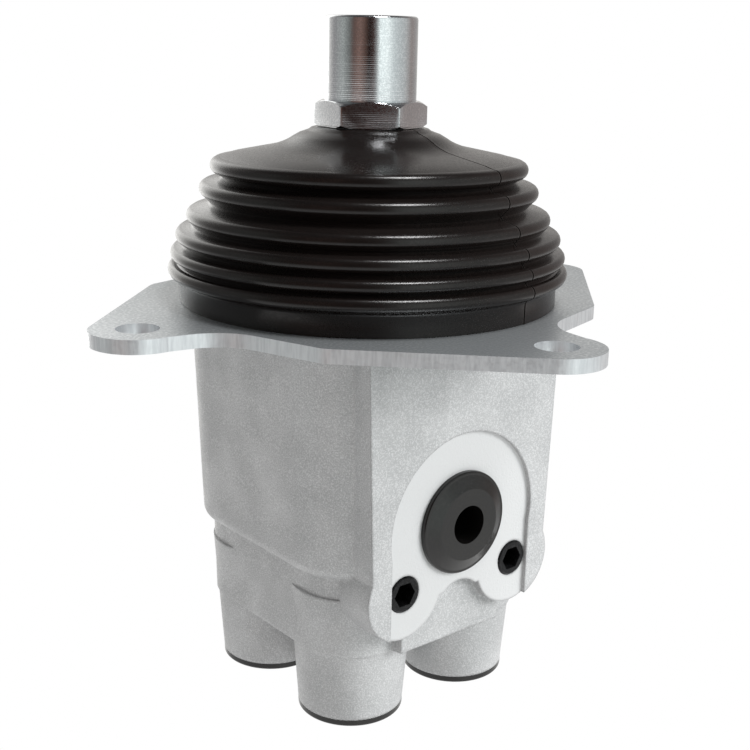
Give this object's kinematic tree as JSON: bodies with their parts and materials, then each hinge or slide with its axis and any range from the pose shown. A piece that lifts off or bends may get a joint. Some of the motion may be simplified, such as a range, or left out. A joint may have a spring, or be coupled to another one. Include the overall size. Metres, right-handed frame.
{
  "type": "hydraulic pilot joystick valve",
  "caption": "Hydraulic pilot valve with a cast body, square fixing plate, ribbed rubber boot and a tilting lever with a threaded handle coupling.",
  "frame": {"origin": "centre of the panel bolt circle, on the mounting plate's top face", "axes": "+Z along the lever at rest, -Y out of the inlet pad, legs on the diagonals of X and Y"},
  "size_m": [0.1388, 0.1388, 0.154],
  "materials": {
    "cast_aluminium": "sand-cast, fine grain",
    "zinc_steel": "zinc plated",
    "bright_zinc": "turned and zinc plated",
    "ground_steel": "ground",
    "spring_steel": "drawn wire",
    "boot_rubber": "moulded",
    "seal_rubber": "moulded",
    "black_plastic": "moulded",
    "black_steel": "black oxide"
  },
  "bodies": {
    "housing": {"valve_body": "cast_aluminium", "mounting_plate": "zinc_steel", "plate_screws": "zinc_steel", "boot": "boot_rubber", "boot_seat_ring": "black_plastic", "joint_base": "ground_steel", "bush_orings": "seal_rubber", "rod_seals": "seal_rubber", "inlet_port_plug": "black_plastic", "tank_port_plug": "black_plastic", "gallery_plug_left": "black_steel", "gallery_plug_right": "black_steel", "guide_bush_1": "ground_steel", "guide_bush_2": "ground_steel", "guide_bush_3": "ground_steel", "guide_bush_4": "ground_steel", "port_cap_1": "black_plastic", "port_cap_2": "black_plastic", "port_cap_3": "black_plastic", "port_cap_4": "black_plastic", "return_spring_1": "spring_steel", "return_spring_2": "spring_steel", "return_spring_3": "spring_steel", "return_spring_4": "spring_steel", "metering_spring_1": "spring_steel", "metering_spring_2": "spring_steel", "metering_spring_3": "spring_steel", "metering_spring_4": "spring_steel"},
    "cross": {"joint_cross": "ground_steel"},
    "lever": {"joint_yoke": "ground_steel", "swash_plate": "ground_steel", "lock_nut": "zinc_steel", "handle_coupling": "bright_zinc"},
    "plunger_1": {"plunger_1": "ground_steel", "spring_seat_1": "ground_steel"},
    "spool_1": {"spool_1": "ground_steel"},
    "plunger_2": {"plunger_2": "ground_steel", "spring_seat_2": "ground_steel"},
    "spool_2": {"spool_2": "ground_steel"},
    "plunger_3": {"plunger_3": "ground_steel", "spring_seat_3": "ground_steel"},
    "spool_3": {"spool_3": "ground_steel"},
    "plunger_4": {"plunger_4": "ground_steel", "spring_seat_4": "ground_steel"},
    "spool_4": {"spool_4": "ground_steel"}
  },
  "joints": [
    {"name": "lever_tilt_a", "type": "hinge", "parent": "housing", "child": "cross", "pos_m": [0, 0, 0.011], "axis": [0.7071, 0.7071, 0], "range_deg": [-19, 19], "stiffness_Nm_per_rad": 2, "deforming": ["boot"]},
    {"name": "lever_tilt_b", "type": "hinge", "parent": "cross", "child": "lever", "pos_m": [0, 0, 0.011], "axis": [0.7071, -0.7071, 0], "range_deg": [-19, 19], "stiffness_Nm_per_rad": 2, "deforming": ["boot"]},
    {"name": "plunger_slide_1", "type": "slide", "parent": "housing", "child": "plunger_1", "axis": [0, 0, 1], "range_m": [-0.00805, 0.00805], "deforming": ["return_spring_1", "metering_spring_1"]},
    {"name": "spool_slide_1", "type": "slide", "parent": "housing", "child": "spool_1", "axis": [0, 0, 1], "range_m": [-0.00122, 0.00122], "deforming": ["metering_spring_1"]},
    {"name": "plunger_slide_2", "type": "slide", "parent": "housing", "child": "plunger_2", "axis": [0, 0, 1], "range_m": [-0.00805, 0.00805], "deforming": ["return_spring_2", "metering_spring_2"]},
    {"name": "spool_slide_2", "type": "slide", "parent": "housing", "child": "spool_2", "axis": [0, 0, 1], "range_m": [-0.00122, 0.00122], "deforming": ["metering_spring_2"]},
    {"name": "plunger_slide_3", "type": "slide", "parent": "housing", "child": "plunger_3", "axis": [0, 0, 1], "range_m": [-0.00805, 0.00805], "deforming": ["return_spring_3", "metering_spring_3"]},
    {"name": "spool_slide_3", "type": "slide", "parent": "housing", "child": "spool_3", "axis": [0, 0, 1], "range_m": [-0.00122, 0.00122], "deforming": ["metering_spring_3"]},
    {"name": "plunger_slide_4", "type": "slide", "parent": "housing", "child": "plunger_4", "axis": [0, 0, 1], "range_m": [-0.00805, 0.00805], "deforming": ["return_spring_4", "metering_spring_4"]},
    {"name": "spool_slide_4", "type": "slide", "parent": "housing", "child": "spool_4", "axis": [0, 0, 1], "range_m": [-0.00122, 0.00122], "deforming": ["metering_spring_4"]}
  ],
  "couplings": [
    {"joint": "plunger_slide_1", "follows": "lever_tilt_b", "m_per_rad": 0.02409},
    {"joint": "spool_slide_1", "follows": "lever_tilt_b", "m_per_rad": 0.0036},
    {"joint": "plunger_slide_2", "follows": "lever_tilt_a", "m_per_rad": 0.02409},
    {"joint": "spool_slide_2", "follows": "lever_tilt_a", "m_per_rad": 0.0036},
    {"joint": "plunger_slide_3", "follows": "lever_tilt_b", "m_per_rad": -0.02409},
    {"joint": "spool_slide_3", "follows": "lever_tilt_b", "m_per_rad": -0.0036},
    {"joint": "plunger_slide_4", "follows": "lever_tilt_a", "m_per_rad": -0.02409},
    {"joint": "spool_slide_4", "follows": "lever_tilt_a", "m_per_rad": -0.0036}
  ]
}
